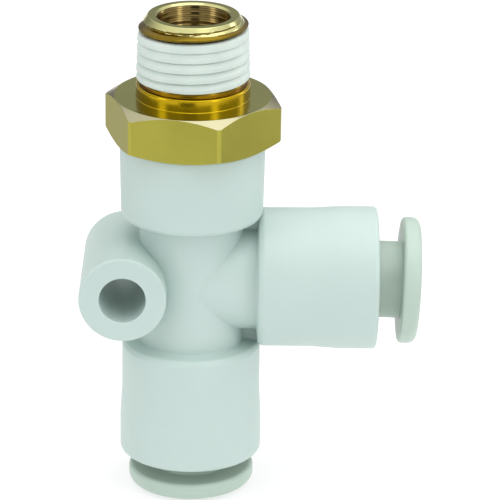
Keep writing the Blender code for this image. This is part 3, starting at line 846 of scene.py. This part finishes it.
def make_ports(finish):
    buttons = button_mesh()
    inner = inner_meshes()
    looks = {"seal": ("rubber", "rubber"), "back_ring": ("inner", "inner_resin"), "guide_ring": ("nickel", "nickel_plate")}
    places = (("branch", branch_frame, BRANCH_FRONT, BRANCH_DROOP_DEG), ("run", run_frame, RUN_FRONT, RUN_TIP_DEG))
    for port, port_frame, front, tip_deg in places:
        pivot = Matrix.Translation((0.0, 0.0, BUTTON_PIVOT * MM))
        tip = pivot @ Matrix.Rotation(math.radians(tip_deg), 4, "Y") @ pivot.inverted()
        out = port_frame @ Matrix.Translation((0.0, 0.0, front * MM)) @ tip
        button = show(f"{port}_button", buttons.copy(), finish["button"], out)
        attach(button, f"{port}_button")
        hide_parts(f"{port}_release_button")
        for piece, mesh in inner.items():
            look, slot = looks[piece]
            ring = show(f"{port}_{piece}_fine", mesh.copy(), finish[look], port_frame)
            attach(ring, "tee")
            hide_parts(f"{port}_{piece}")


def dress_cad_nodes(finish):
    """Finishes for the inner CAD pieces that stay as they are."""
    looks = {
        "swivel_o_ring": "rubber",
        "swivel_clip": "steel",
        "branch_chuck": "steel",
        "run_chuck": "steel",
        "branch_collet": "inner",
        "run_collet": "inner",
    }
    for node, look in looks.items():
        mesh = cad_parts[node].data
        mesh.materials.clear()
        mesh.materials.append(finish[look])


# ---------------------------------------------------------------- studio


def flat_sheet(name, low, high, height, finish):
    """A rectangle from corner to corner, parallel to the ground."""
    bm = bmesh.new()
    corners = ((low[0], low[1]), (high[0], low[1]), (high[0], high[1]), (low[0], high[1]))
    bm.faces.new([bm.verts.new((x, y, height)) for x, y in corners])
    sheet = show(name, finish_mesh(bm, name), finish)
    return sheet


def paper(name, grey, glow=0.0):
    """Matt paper with a faint fibre.  The sheet of a light-table also glows."""
    made = Finish(name, 0.9)
    fibre = made.noise(300.0, 3.0)
    made.colour(made.ramp(fibre, [(0.3, (grey - 0.02,) * 3), (0.7, (grey,) * 3)]))
    made.value("Specular IOR Level", 0.1)
    made.value("Emission Color", (1.0, 1.0, 1.0, 1.0))
    made.value("Emission Strength", glow)
    return made.material


def make_floor():
    """A light-table, grey cards beside it and a dark screen round the camera, which only reflections show."""
    ground = cad_box[0].z - FLOOR_GAP
    flat_sheet("floor", (-3.0, -3.0), (3.0, 3.0), ground, paper("paper_white", FLOOR_GREY, FLOOR_GLOW))
    for name, low, high, grey in CARDS:
        card = flat_sheet(name, low, high, ground + FLOOR_GAP / 2, paper("paper_" + name, grey))
        card.visible_camera = False
        card.visible_shadow = False
    width, height = SCREEN_SIZE
    screen = flat_sheet("screen", (-width / 2, -height / 2), (width / 2, height / 2), 0.0, paper("paper_screen", 0.02))
    screen.matrix_world = Matrix.Translation(SCREEN_PLACE) @ Matrix.Rotation(math.radians(90), 4, "X")
    screen.visible_camera = False
    screen.visible_shadow = False


def make_light(name, place, target, width, height, watts):
    data = bpy.data.lights.new(name, "AREA")
    data.shape = "RECTANGLE" if height else "DISK"
    data.size = width
    data.size_y = height or width
    data.energy = watts
    light = bpy.data.objects.new(name, data)
    bpy.context.scene.collection.objects.link(light)
    light.location = place
    light.rotation_euler = (Vector(target) - Vector(place)).to_track_quat("-Z", "Y").to_euler()


def make_world():
    """A white room: brighter overhead and in front than near the horizon behind."""
    world = bpy.data.worlds.new("studio")
    bpy.context.scene.world = world
    world.use_nodes = True
    nodes, links = world.node_tree.nodes, world.node_tree.links
    nodes["Background"].inputs["Color"].default_value = (1.0, 1.0, 1.0, 1.0)
    split = nodes.new("ShaderNodeSeparateXYZ")
    links.new(nodes.new("ShaderNodeTexCoord").outputs["Generated"], split.inputs[0])

    def step(operation, a, b, c=0.0):
        node = nodes.new("ShaderNodeMath")
        node.operation = operation
        for socket, given in zip(node.inputs, (a, b, c)):
            if isinstance(given, (int, float)):
                socket.default_value = given
            else:
                links.new(given, socket)
        return node.outputs[0]

    x, y, z = split.outputs
    wall = step("MULTIPLY_ADD", y, -ROOM_FRONT, ROOM_WALL)
    wall = step("MAXIMUM", step("MULTIPLY_ADD", x, ROOM_RIGHT, wall), ROOM_DARKEST)
    rise = nodes.new("ShaderNodeMapRange")
    rise.interpolation_type = "SMOOTHSTEP"
    rise.inputs["From Min"].default_value = 0.2
    rise.inputs["From Max"].default_value = 0.8
    links.new(z, rise.inputs["Value"])
    above = step("MULTIPLY", rise.outputs["Result"], step("SUBTRACT", ROOM_CEILING, wall))
    links.new(step("ADD", wall, above), nodes["Background"].inputs["Strength"])


def make_camera():
    """From a little to the left of the front, looking down by 20 degrees."""
    target = Vector((5.185, 0.0, BRANCH_Z + 2.48)) * MM
    azimuth, elevation, roll = math.radians(-0.77), math.radians(20.37), math.radians(0.9)
    distance, lens = 0.250, 202.0
    back = Vector((
        math.sin(azimuth) * math.cos(elevation),
        -math.cos(azimuth) * math.cos(elevation),
        math.sin(elevation),
    ))
    data = bpy.data.cameras.new("camera")
    data.lens = lens
    data.sensor_width = 36.0
    data.clip_start = 0.01
    camera = bpy.data.objects.new("camera", data)
    bpy.context.scene.collection.objects.link(camera)
    facing = (-back).to_track_quat("-Z", "Y").to_matrix().to_4x4()
    camera.matrix_world = Matrix.Translation(target + back * distance) @ facing @ Matrix.Rotation(roll, 4, "Z")
    bpy.context.scene.camera = camera


tee_centre = Matrix.Translation((0.0, 0.0, BRANCH_Z * MM))
branch_frame = tee_centre @ Matrix.Rotation(math.radians(90), 4, "Y")
run_frame = tee_centre @ Matrix.Rotation(math.radians(180), 4, "X")

bpy.context.scene.view_settings.view_transform = "Standard"
make_camera()
make_world()
make_floor()
make_light("overhead", (0.08, -0.05, 0.43), (0.0, 0.0, 0.0), 0.5, 0.0, 0.66)
make_light("front_strip", (0.30, -0.30, 0.12), (0.0, 0.0, -0.01), 0.09, 0.24, 0.16)
make_light("left_strip", (-0.37, -0.19, 0.12), (0.0, 0.0, -0.01), 0.12, 0.24, 0.17)
make_light("back_strip", (0.38, 0.17, 0.12), (0.0, 0.0, -0.01), 0.09, 0.24, 0.16)
finish = make_finishes()
make_stud(finish)
make_body(finish)
make_ports(finish)
dress_cad_nodes(finish)
